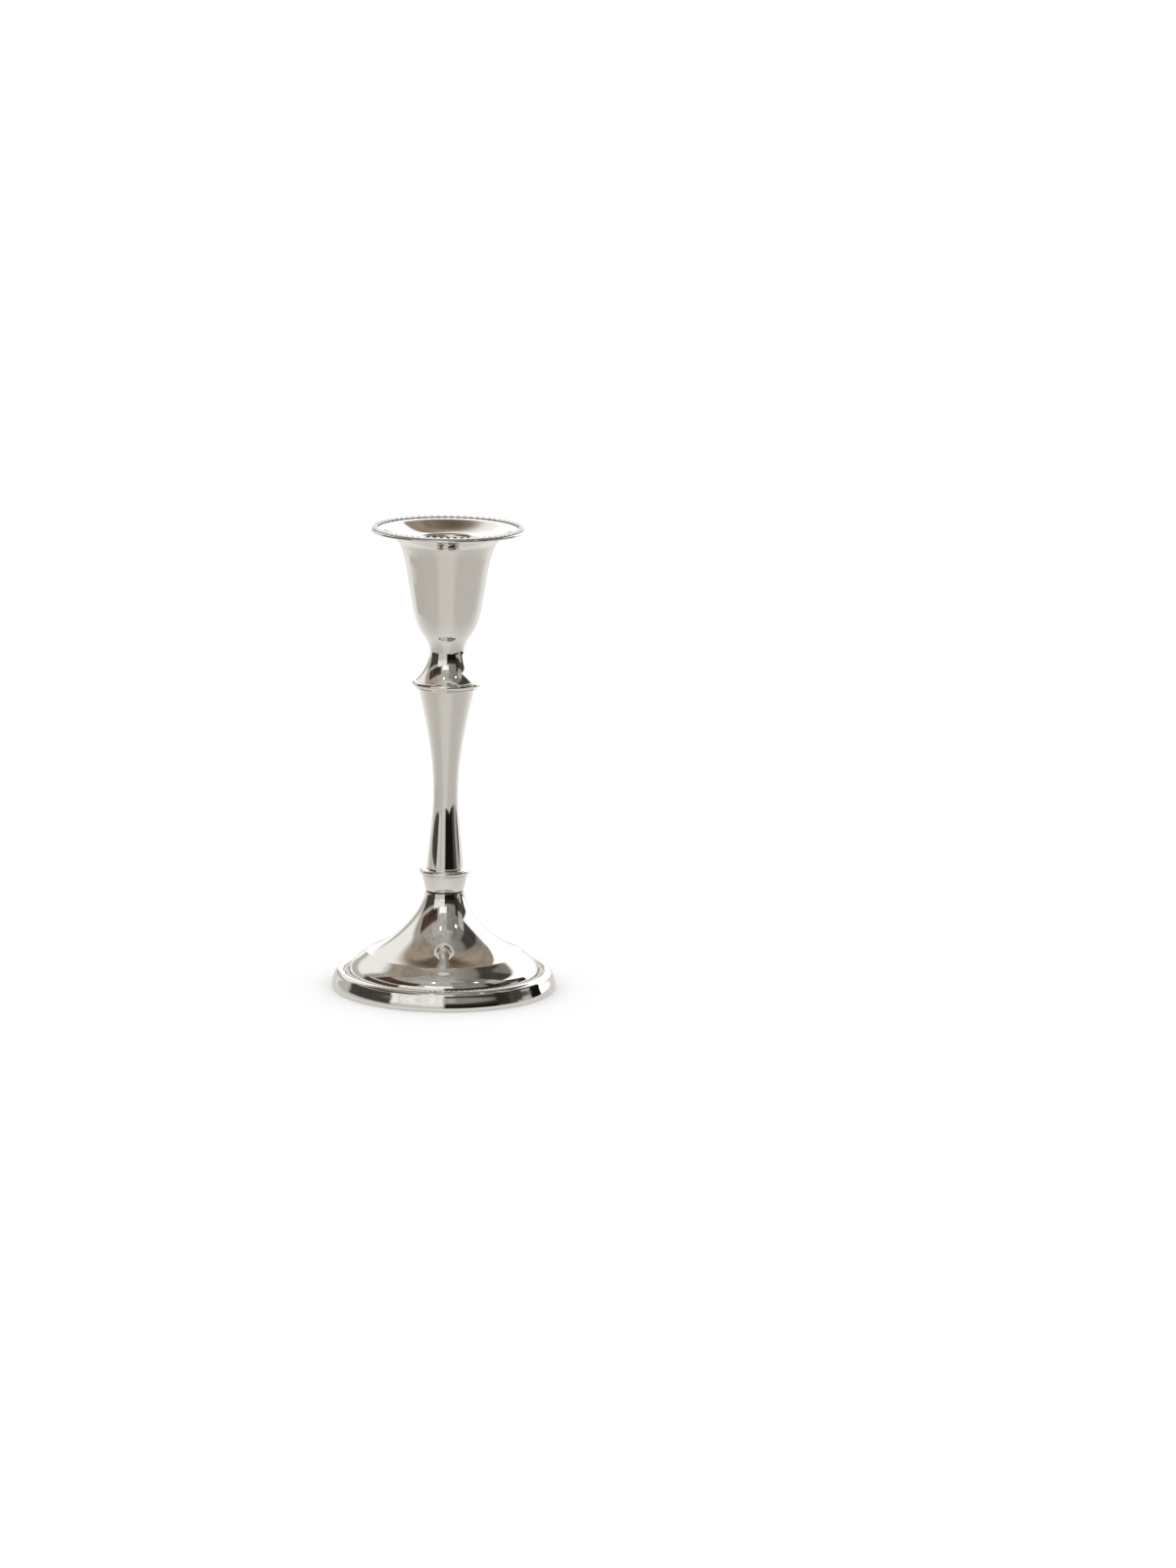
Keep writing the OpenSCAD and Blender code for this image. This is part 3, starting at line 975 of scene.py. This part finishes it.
@dataclass
class Cup:
    """The trumpet cup with its neck and the flare down to the upper knop."""

    silver: bpy.types.Material
    flare_h: float = 8.0 * MM
    flare_in: float = 2.4 * MM
    bowl_r: float = 13.2 * MM
    bowl_h: float = 28.0 * MM
    turn_in: float = 4.0 * MM
    turn_drop: float = 10.4 * MM
    neck_r: float = 6.65 * MM
    neck_h: float = 11.1 * MM
    foot_r: float = 12.0 * MM
    floor_h: float = 20.5 * MM
    floor_t: float = 7.0 * MM
    wall: float = 1.0 * MM
    seat_depth: float = 7.0 * MM
    seat_r: float = 15.35 * MM

    def __post_init__(self) -> None:
        """Reads the levels and the mouth's radius from the frame."""
        self.base = low("socket_cup").z
        self.top = high("socket_cup").z
        self.mouth_r = high("socket_cup").x

    def line(self) -> list[Point]:
        """The outer line of the cup, from its mouth down.

        Returns:
            The points in order.
        """
        flare_z, flare_r = self.top - self.flare_h, self.mouth_r - self.flare_in
        bowl_z = self.base + self.bowl_h
        turn_r, turn_z = self.bowl_r - self.turn_in, bowl_z - self.turn_drop
        neck_z = self.base + self.neck_h
        return joined(
            curve((self.mouth_r, self.top), (self.mouth_r - 1.2 * MM, self.top - 2.2 * MM),
                  (flare_r + 0.6 * MM, flare_z + 3 * MM), (flare_r, flare_z), 36),
            curve((self.bowl_r, bowl_z), (self.bowl_r - 0.7 * MM, bowl_z - 3.9 * MM),
                  (turn_r + 2 * MM, turn_z + 2.7 * MM), (turn_r, turn_z), 36),
            curve((turn_r, turn_z), (turn_r - 1.6 * MM, turn_z - 2.1 * MM),
                  (self.neck_r, neck_z + 2.6 * MM), (self.neck_r, neck_z), 32),
            curve((self.neck_r, neck_z), (self.neck_r, neck_z - 3.4 * MM),
                  (self.foot_r - 3.8 * MM, self.base + 3.4 * MM), (self.foot_r, self.base), 44))

    def build(self) -> None:
        """Makes the cup and dresses it."""
        line = self.line()
        seat_z, floor_z = self.top - self.seat_depth, self.base + self.floor_h
        inside = between(inset(line, self.wall), floor_z, seat_z)
        under_z = floor_z - self.floor_t
        outline = joined([(ROD_HOLE_R, floor_z)], inside[::-1],
                         [(self.seat_r, seat_z), (self.seat_r, self.top)], line,
                         [(NECK_BORE_R, self.base), (NECK_BORE_R, under_z),
                          (ROD_HOLE_R, under_z)])
        fit(turned("trumpet_cup", outline), "socket_cup", Body.STAND, self.silver)


@dataclass
class Nozzle:
    """The lift-out nozzle: drip pan, beading, candle tube and flared skirt."""

    silver: bpy.types.Material
    mouth_r: float = 18.5 * MM
    sheet: float = 0.8 * MM
    flare_wall: float = 0.6 * MM
    crease_r: float = 24.3 * MM
    lip_w: float = 2.25 * MM
    tube_wall: float = 0.8 * MM
    lip_rise: float = 1.1 * MM
    lip_gap: float = 0.2 * MM
    spigot_in: float = 3.5 * MM
    beads: int = 68
    beads_in: float = 1.45 * MM
    band_w: float = 1.3 * MM

    def __post_init__(self) -> None:
        """Reads the levels, the pan's radius and the bore from the frame."""
        self.pan_z, self.pan_r = high("drip_pan").z, high("drip_pan").x
        self.funnel_z = low("drip_pan").z + self.sheet
        self.flange_z = high("nozzle_skirt").z
        self.cup_top = high("socket_cup").z
        self.bead_r = high("nozzle_beading").z - self.pan_z
        bore = next(m for m in frame["record"]["mounts"] if m["kind"] == "bore")
        self.bore_r = bore["dims"]["r_mm"] * MM
        self.lip_foot_z = bore["pos_m"][2]
        self.bore_floor_z = self.lip_foot_z - bore["dims"]["length_mm"] * MM
        self.lip_r = self.bore_r + self.lip_w
        self.tube_r = self.bore_r + self.tube_wall

    def pan(self) -> bpy.types.Object:
        """The spun drip pan with its funnel.

        Returns:
            The piece.
        """
        hole_r, land_r = self.tube_r + FIT_CLEAR, self.lip_r + self.lip_gap
        edge = (self.pan_z - self.flange_z) / 2
        funnel = curve((self.crease_r, self.pan_z - 0.25 * MM),
                       (self.crease_r - 3.6 * MM, self.pan_z - 1.8 * MM),
                       (land_r + 2.6 * MM, self.funnel_z + 0.35 * MM), (land_r, self.funnel_z), 40)
        under = between(inset(funnel, -self.sheet), self.funnel_z - self.sheet, self.flange_z)
        outline = joined([(hole_r, self.funnel_z - self.sheet), (hole_r, self.funnel_z)], funnel[::-1],
                         [(self.crease_r + 2.5 * MM, self.pan_z)],
                         arc((self.pan_r - edge, self.flange_z + edge), edge, 90, -90), under)
        return turned("drip_pan_spinning", outline)

    def tube(self) -> bpy.types.Object:
        """The closed tube that holds the candle, with its rounded lip.

        Returns:
            The piece.
        """
        crown = self.funnel_z + self.lip_rise
        lip = curve((self.lip_r, self.funnel_z), (self.lip_r, crown), (self.bore_r, crown),
                    (self.bore_r, self.lip_foot_z), 32)
        outline = joined([(0.0, self.bore_floor_z - self.tube_wall),
                          (self.tube_r, self.bore_floor_z - self.tube_wall), (self.tube_r, self.funnel_z)],
                         lip, [(self.bore_r, self.bore_floor_z), (0.0, self.bore_floor_z)])
        return turned("candle_tube_and_lip", outline)

    def skirt(self) -> bpy.types.Object:
        """The flared underside with the spigot that sits in the cup.

        Returns:
            The piece.
        """
        spigot_r, spigot_z = self.mouth_r - self.spigot_in, low("nozzle_skirt").z
        flare = curve((self.mouth_r, self.cup_top), (self.mouth_r + 1.1 * MM, self.cup_top + 2 * MM),
                      (self.pan_r - 6.35 * MM, self.flange_z - 0.95 * MM),
                      (self.pan_r - 1.35 * MM, self.flange_z), 40)
        inside = between(inset(flare, -self.flare_wall), self.cup_top + self.sheet, self.flange_z)
        outline = joined([(spigot_r, self.cup_top)], flare, inside[::-1],
                         [(spigot_r - self.sheet, self.cup_top + self.sheet),
                          (spigot_r - self.sheet, spigot_z), (spigot_r, spigot_z)])
        return turned("flared_skirt", outline)

    def build(self) -> None:
        """Makes the pieces of the nozzle and dresses them."""
        for piece, node in ((self.pan(), "drip_pan"), (self.tube(), "candle_tube"),
                            (self.skirt(), "nozzle_skirt")):
            fit(piece, node, Body.NOZZLE, self.silver)
        beads = beaded("pan_beads", self.pan_r - self.beads_in, self.pan_z, self.bead_r, self.beads,
                       self.band_w)
        finish = RecessSilver("pan_bead_silver", self.pan_z, self.pan_z + self.bead_r)
        fit(beads, "nozzle_beading", Body.NOZZLE, finish.material())


@dataclass
class Fixings:
    """The tie rod with its threads, and the nuts and washers that clamp the stack."""

    steel: bpy.types.Material
    rod_r: float = 2.5 * MM
    pitch: float = 0.8 * MM
    thread_depth: float = 0.42 * MM
    thread_len: float = 11.0 * MM
    chamfer: float = 0.4 * MM
    nut_af: float = 8.0 * MM
    nut_sink: float = 0.35 * MM
    nut_rows: int = 24
    nut_segments: int = 144
    rows_per_turn: int = 8
    rod_segments: int = 48
    washer_segments: int = 96
    face_share: float = 0.97
    cone_slope: float = math.tan(math.radians(30))

    def rod(self) -> bpy.types.Object:
        """The tie rod, threaded at both ends.

        Returns:
            The piece.
        """
        bottom, top = low("tie_rod").z, high("tie_rod").z
        chamfer, step = self.chamfer, self.pitch / self.rows_per_turn
        rows = round(self.thread_len / step)
        foot = [(self.rod_r, bottom + chamfer + i * step) for i in range(rows)]
        head = [(self.rod_r, top - chamfer - i * step) for i in range(rows)][::-1]

        def thread(radius: float, height: float, angle: float) -> float:
            """The rod's real radius, cut by the thread.

            Args:
                radius: Radius of the outline there.
                height: Height of the point.
                angle: Angle of the point.

            Returns:
                The real radius.
            """
            reach = min(height - bottom, top - height)
            if radius < self.rod_r - chamfer / 2 or reach > self.thread_len:
                return radius
            turn = (height / self.pitch - angle / math.tau) % 1.0
            fade = min(1.0, (self.thread_len - reach) / self.pitch, reach / chamfer)
            return radius - self.thread_depth * fade * abs(2 * turn - 1)

        outline = [(0.0, bottom), (self.rod_r - chamfer, bottom), *foot, *head,
                   (self.rod_r - chamfer, top), (0.0, top)]
        solid = Solid()
        solid.revolve(outline, self.rod_segments, thread)
        return solid.piece("threaded_tie_rod", 50.0)

    def nut(self, name: str, node: str) -> bpy.types.Object:
        """A hexagon nut with chamfered corners.

        Args:
            name: The piece's name.
            node: The frame node that it stands for.

        Returns:
            The nut.
        """
        bottom, top = low(node).z, high(node).z
        bore_r, half, sink = self.rod_r + FIT_CLEAR, self.nut_af / 2, self.nut_sink
        corner_r = half / math.cos(math.pi / 6)

        def hexagon(radius: float, height: float, angle: float) -> float:
            """The nut's real radius: flats, cut by a cone at each end.

            Args:
                radius: Radius of the outline there.
                height: Height of the point.
                angle: Angle of the point.

            Returns:
                The real radius.
            """
            if radius < half:
                return radius
            flat = half / math.cos(angle % (math.pi / 3) - math.pi / 6)
            cone = self.face_share * half + min(height - bottom, top - height) / self.cone_slope
            return min(flat, cone)

        wall = [(corner_r, bottom + (top - bottom) * i / self.nut_rows) for i in range(self.nut_rows + 1)]
        outline = [(bore_r + sink, bottom), *wall, (bore_r + sink, top), (bore_r, top - sink),
                   (bore_r, bottom + sink)]
        solid = Solid()
        solid.revolve(outline, self.nut_segments, hexagon)
        return solid.piece(name)

    def washer(self, name: str, node: str) -> bpy.types.Object:
        """A punched washer with rounded edges, in the place of a frame node."""
        bottom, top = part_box(node)
        return turned(name, ring(ROD_HOLE_R, top.x, bottom.z, top.z), 0.25 * MM, self.washer_segments)

    def build(self) -> None:
        """Makes the rod, nuts and washers and dresses them."""
        pieces = ((self.rod(), "tie_rod"), (self.nut("upper_hex_nut", "cup_nut"), "cup_nut"),
                  (self.nut("lower_hex_nut", "base_nut"), "base_nut"),
                  (self.washer("upper_washer", "cup_washer"), "cup_washer"),
                  (self.washer("lower_washer", "base_washer"), "base_washer"))
        for piece, node in pieces:
            fit(piece, node, Body.STAND, self.steel)


@dataclass
class Underside:
    """What fills and closes the foot: iron weight, lacquered plate and felt."""

    fuzz: float = 0.10 * MM
    frayed_w: float = 0.6 * MM
    low_edge: float = 0.35 * MM
    high_edge: float = 0.2 * MM
    segments: int = 360
    face_rings: int = 12
    seed: int = 7

    def felt(self) -> bpy.types.Object:
        """The felt pad: a rounded, slightly ragged edge and a matted face.

        Returns:
            The piece.
        """
        top = high("felt_pad")
        edge_r, thick = top.x, top.z
        draw = random.Random(self.seed)
        ragged = [draw.uniform(-1.0, 0.0) for _ in range(self.segments)]

        def frayed(radius: float, height: float, angle: float) -> float:
            """The edge's real radius.

            Args:
                radius: Radius of the outline there.
                height: Height of the point.
                angle: Angle of the point.

            Returns:
                The real radius.
            """
            if radius < edge_r - self.frayed_w:
                return radius
            k = round(angle / math.tau * self.segments) % self.segments
            return radius + self.fuzz * (0.6 * ragged[k] + 0.4 * ragged[k - 1])

        face = [(edge_r * i / self.face_rings, 0.0) for i in range(self.face_rings)]
        outline = joined(face, [(edge_r - self.low_edge, 0.0), (edge_r, self.low_edge),
                                (edge_r, thick - self.high_edge), (edge_r - self.high_edge, thick),
                                (0.0, thick)])
        solid = Solid()
        solid.revolve(softened(outline, 0.15 * MM), self.segments, frayed)
        return solid.piece("green_felt_pad", 60.0)

    def plate(self) -> bpy.types.Object:
        """The lacquered plate above the felt, with a rounded edge."""
        bottom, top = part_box("base_plate")
        return turned("closing_plate", ring(0.0, top.x, bottom.z, top.z), 0.3 * MM)

    def build(self) -> None:
        """Makes the pieces under the foot and dresses them and the weight."""
        fit(self.felt(), "felt_pad", Body.STAND, WoolFelt().material())
        fit(self.plate(), "base_plate", Body.STAND, LacqueredSheet().material())
        weight = frame["nodes"]["weight"]
        weight.data.materials.clear()
        weight.data.materials.append(CastIron().material())
        log.info("%s keeps the frame's own shape", weight.name)


# ---------------------------------------------------------------- the studio


@dataclass(frozen=True)
class Panel:
    """A soft-edged patch of the tent, as the stick sees it. Angles are in degrees.

    Azimuth 0 is towards the camera and grows to its right. Lean is how far the patch slides
    sideways for each degree upwards, and weight is how much it covers what is under it.
    """

    colour: Colour
    left: float
    right: float
    bottom: float
    top: float
    soft: float = 6.0
    lean: float = 0.0
    weight: float = 1.0


PAPER_GREY: Colour = (0.475, 0.452, 0.415)
PAPER_PALE: Colour = (0.61, 0.592, 0.555)
PAPER_BACK: Colour = (0.80, 0.785, 0.76)
WHITE: Colour = (1.10, 1.10, 1.10)
WINDOW: Colour = (0.86, 0.85, 0.82)
CURTAIN: Colour = (0.60, 0.58, 0.54)
CEILING: Colour = (0.37, 0.35, 0.32)
ROOF: Colour = (0.32, 0.27, 0.215)
WALL: Colour = (0.46, 0.445, 0.415)
BEAM: Colour = (0.13, 0.10, 0.068)
SHADE: Colour = (0.22, 0.205, 0.18)
DUSK: Colour = (0.062, 0.055, 0.048)
DARK: Colour = (0.032, 0.027, 0.022)
BLACK: Colour = (0.008, 0.007, 0.006)
BROWN: Colour = (0.085, 0.048, 0.036)
LAMP: Colour = (3.0, 2.95, 2.85)

TENT_PANELS: tuple[Panel, ...] = (
    Panel(WALL, -60, 30, 38, 82, 20),
    Panel(ROOF, 105, 262, 34, 95, 16),
    Panel(BEAM, 158, 205, 54, 74, 14),
    Panel(SHADE, 50, 135, 30, 80, 20),
    Panel(CEILING, -138, -104, -12, 52, 12),
    Panel(DUSK, -114, -56, -12, 22, 7),
    Panel(WALL, -112, -58, 22.5, 28.5, 3),
    Panel(BROWN, -104, -36, 29, 51, 6),
    Panel(DARK, -78, -46, 29, 42, 6, weight=0.7),
    Panel(CURTAIN, -55, 0, -30, 14, 5),
    Panel(WINDOW, -57, 0, 11, 29, 5),
    Panel(WHITE, -26, 12, 28.5, 41, 4),
    Panel(BLACK, 1, 60, -16, 14, 3),
    Panel(DARK, 1, 62, 12, 23, 4),
    Panel(SHADE, 13, 60, 22, 66, 6, weight=0.8),
    Panel(DARK, 58, 76, 2, 40, 5),
    Panel(WALL, 74, 92, -14, 6, 4, weight=0.5),
    Panel(DUSK, 74, 92, 6, 29, 5),
    Panel(WALL, 70, 91, 30, 53, 4, weight=0.9),
    Panel(WALL, 89, 103, -6, 12, 4),
    Panel(DUSK, 91, 124, 12, 66, 6),
    Panel(BLACK, 102, 160, -40, 12, 4),
    Panel(LAMP, -24, -18, 62.5, 67.5, 1.5),
    Panel(LAMP, 56, 63, 54, 58, 1.5),
)
TENT_WHITES: tuple[Panel, ...] = (
    Panel(WINDOW, 178, 238, -40, 47, 12),
    Panel(WALL, 180, 244, -3, 15, 8),
    Panel(WHITE, 150, 200, -8, 38, 5, lean=-1.3),
    Panel(WHITE, 152, 196, -40, 38, 5),
)


@dataclass(frozen=True)
class Card:
    """An upright card on the table that only reflections show, between two places in plan."""

    name: str
    colour: Colour
    start: Point
    end: Point
    height: float


CARDS: tuple[Card, ...] = (
    Card("reflected_backdrop", WHITE, (-0.12, 0.62), (1.20, 0.62), 0.66),
    Card("reflected_chest", DUSK, (0.52, -0.30), (0.52, -0.10), 0.065),
    Card("reflected_kerb", PAPER_GREY, (-0.32, 0.20), (-0.32, -0.30), 0.030),
)


@dataclass(frozen=True)
class Standpoint:
    """Where the camera stands and how it is turned. Angles are in degrees."""

    distance: float = 2.160
    height: float = 0.515
    pan: float = 1.449
    tilt: float = -11.375
    roll: float = 0.85
    lens: float = 131.76
    sensor: float = 36.0
    near: float = 0.05
    far: float = 20.0

    def build(self) -> bpy.types.Object:
        """Makes the camera.

        Returns:
            The camera, set as the scene's own.
        """
        data = bpy.data.cameras.new("camera")
        data.lens = self.lens
        data.sensor_width = self.sensor
        data.clip_start, data.clip_end = self.near, self.far
        camera = bpy.data.objects.new("camera", data)
        bpy.context.scene.collection.objects.link(camera)
        pan, tilt = math.radians(self.pan), math.radians(self.tilt)
        ahead = Vector((math.sin(pan) * math.cos(tilt), math.cos(pan) * math.cos(tilt), math.sin(tilt)))
        right = Vector((math.cos(pan), -math.sin(pan), 0))
        turn = Matrix.Rotation(math.radians(-self.roll), 3, ahead)
        right = turn @ right
        up = right.cross(ahead)
        rotation = Matrix((right, up, -ahead)).transposed()
        camera.matrix_world = Matrix.Translation((0, -self.distance, self.height)) @ rotation.to_4x4()
        bpy.context.scene.camera = camera
        return camera


@dataclass
class Studio:
    """A tent with soft light, a pale floor and the camera.

    The eye and the soft light see a white floor. The polished silver sees the tent and the paper
    that the stick stands on, which turns grey towards the camera.
    """

    tent_r: float = 4.0
    tent_centre: float = 0.09
    floor_half: float = 3.0
    floor_white: Colour = (0.90, 0.90, 0.90)
    room_light: float = 1.20
    paper_left: float = -0.66
    paper_right: float = 0.50
    paper_front: float = -0.72
    paper_back: float = 2.6
    fold: tuple[float, float] = (-0.22, 0.20)
    fold_bend: float = 0.6
    streak_w: float = 0.10
    streak_lean: float = 0.06
    streak_narrowing: float = 0.25
    streak_share: float = 0.7
    mottle: float = 0.45
    mottle_scale: tuple[float, float, float] = (1.6, 1.6, 2.4)
    mottle_dark: float = 0.45

    def build(self) -> None:
        """Builds the whole studio."""
        self.floor()
        self.paper()
        for card in CARDS:
            self.card(card)
        self.tent()
        self.world()
        Standpoint().build()
        bpy.context.scene.view_settings.view_transform = "Standard"

    @staticmethod
    def staged(name: str, mesh: bpy.types.Mesh, material: bpy.types.Material,
               mirrored: bool) -> bpy.types.Object:
        """Puts a stage object into the scene.

        Args:
            name: Its name.
            mesh: Its mesh.
            material: Its finish.
            mirrored: True if only reflections show it, False if only the eye and soft light do.

        Returns:
            The object.
        """
        made = bpy.data.objects.new(name, mesh)
        bpy.context.scene.collection.objects.link(made)
        mesh.materials.append(material)
        made.visible_glossy = mirrored
        made.visible_camera = made.visible_diffuse = made.visible_shadow = not mirrored
        material.cycles.emission_sampling = "NONE"
        return made

    @staticmethod
    def quad(name: str, *corners: tuple[float, float, float]) -> bpy.types.Mesh:
        """A flat sheet with four corners.

        Args:
            name: The mesh's name.
            corners: The corners in order.

        Returns:
            The mesh.
        """
        mesh = bpy.data.meshes.new(name)
        mesh.from_pydata(corners, [], [(0, 1, 2, 3)])
        return mesh

    def floor(self) -> None:
        """Makes the pale floor."""
        half = self.floor_half
        mesh = self.quad("floor", (-half, -half, 0), (half, -half, 0), (half, half, 0), (-half, half, 0))
        material = Graph("pale_floor").surface(Base_Color=self.floor_white, Roughness=0.9)
        self.staged("floor", mesh, material, False)

    def paper(self) -> None:
        """Makes the paper that the silver reflects: grey in front, white behind, with a pale streak."""
        graph = Graph("reflected_paper")
        place = graph.node("ShaderNodeTexCoord", output="Object")
        x, y, _ = graph.axes(place)
        behind = graph.stepped(y - graph.maths("ABSOLUTE", x) * self.fold_bend, *self.fold)
        off_streak = graph.maths("ABSOLUTE", x - y * self.streak_lean) + y * self.streak_narrowing
        lit = 1 - graph.stepped(off_streak, 0.0, self.streak_w)
        cloud = graph.noise(place, 5.0, 2.0, 0.5)
        pale = lit * self.streak_share + cloud * (1 - self.streak_share)
        colour = graph.mixed(behind, graph.mixed(pale, PAPER_GREY, PAPER_PALE), PAPER_BACK)
        left, right, front, back = self.paper_left, self.paper_right, self.paper_front, self.paper_back
        z = -0.5 * MM
        mesh = self.quad("reflected_paper", (left, front, z), (right, front, z), (right, back, z),
                         (left, back, z))
        self.staged("reflected_paper", mesh, graph.glowing(colour), True)

    def card(self, card: Card) -> None:
        """Stands up one card that the silver reflects."""
        mesh = self.quad(card.name, (*card.start, 0), (*card.end, 0), (*card.end, card.height),
                         (*card.start, card.height))
        self.staged(card.name, mesh, Graph(card.name).glowing(card.colour), True)

    def tent(self) -> None:
        """Makes the tent that the silver reflects, a ball of cloth with the panels on it."""
        solid = Solid()
        rows, segments, degrees = 48, 96, 180 / math.pi
        outline = arc((0.0, self.tent_centre), self.tent_r, -90, 90, rows)
        solid.revolve([(max(r, 0.0), z) for r, z in outline], segments, closed=False)
        shell = solid.piece("tent_shape")
        graph = Graph("tent_cloth")
        place = graph.node("ShaderNodeTexCoord", output="Object")
        x, y, z = graph.axes(place)
        azimuth = graph.maths("ARCTAN2", x, y * -1.0) * degrees
        elevation = graph.maths("ARCSINE", (z - self.tent_centre) / self.tent_r) * degrees
        colour: Fed = CEILING
        for panel in TENT_PANELS:
            colour = self.painted(graph, panel, azimuth, elevation, colour)
        cloud = graph.noise(graph.vector("MULTIPLY", {0: place, 1: self.mottle_scale}), 1.0, 4.0, 0.62)
        shadow = graph.stepped(cloud, 0.42, 0.66) * self.mottle
        colour = graph.mixed(shadow, colour, graph.vector("SCALE", {0: colour, "Scale": self.mottle_dark}))
        for panel in TENT_WHITES:
            colour = self.painted(graph, panel, azimuth, elevation, colour)
        self.staged("tent", shell.data, graph.glowing(colour), True)
        bpy.data.objects.remove(shell)

    def painted(self, graph: Graph, panel: Panel, azimuth: Value, elevation: Value, under: Fed) -> Value:
        """Paints one panel over what is there already.

        Args:
            graph: The material's graph.
            panel: The panel.
            azimuth: Direction round the stick, in degrees.
            elevation: Height above the level, in degrees.
            under: The colour so far.

        Returns:
            The new colour.
        """
        slid = azimuth - (elevation - panel.bottom) * panel.lean if panel.lean else azimuth
        mask = self.window(graph, slid, panel.left, panel.right, panel.soft)
        if panel.right > 180:
            again = self.window(graph, slid + 360.0, panel.left, panel.right, panel.soft)
            mask = graph.maths("MAXIMUM", mask, again)
        mask = mask * self.window(graph, elevation, panel.bottom, panel.top, panel.soft)
        return graph.mixed(mask * panel.weight, under, panel.colour)

    @staticmethod
    def window(graph: Graph, value: Value, start: float, end: float, soft: float) -> Value:
        """A mask that is 1 from start to end and 0 outside them, with soft edges."""
        rise = graph.stepped(value, start - soft / 2, start + soft / 2)
        return rise * (1 - graph.stepped(value, end - soft / 2, end + soft / 2))

    def world(self) -> None:
        """Lights the floor evenly."""
        world = bpy.data.worlds.new("tent_light")
        bpy.context.scene.world = world
        world.use_nodes = True
        light = world.node_tree.nodes["Background"]
        light.inputs["Color"].default_value = (1.0, 1.0, 1.0, 1.0)
        light.inputs["Strength"].default_value = self.room_light


def main() -> None:
    """Builds the stick and its studio."""
    logging.basicConfig(level=logging.INFO, format="%(name)s: %(message)s")
    silver = SilverPlate().material()
    steel = TurnedSteel().material()
    Foot(silver).build()
    Column(silver).build()
    Cup(silver).build()
    Nozzle(silver).build()
    Fixings(steel).build()
    Underside().build()
    Studio().build()


if __name__ == "__main__":
    main()
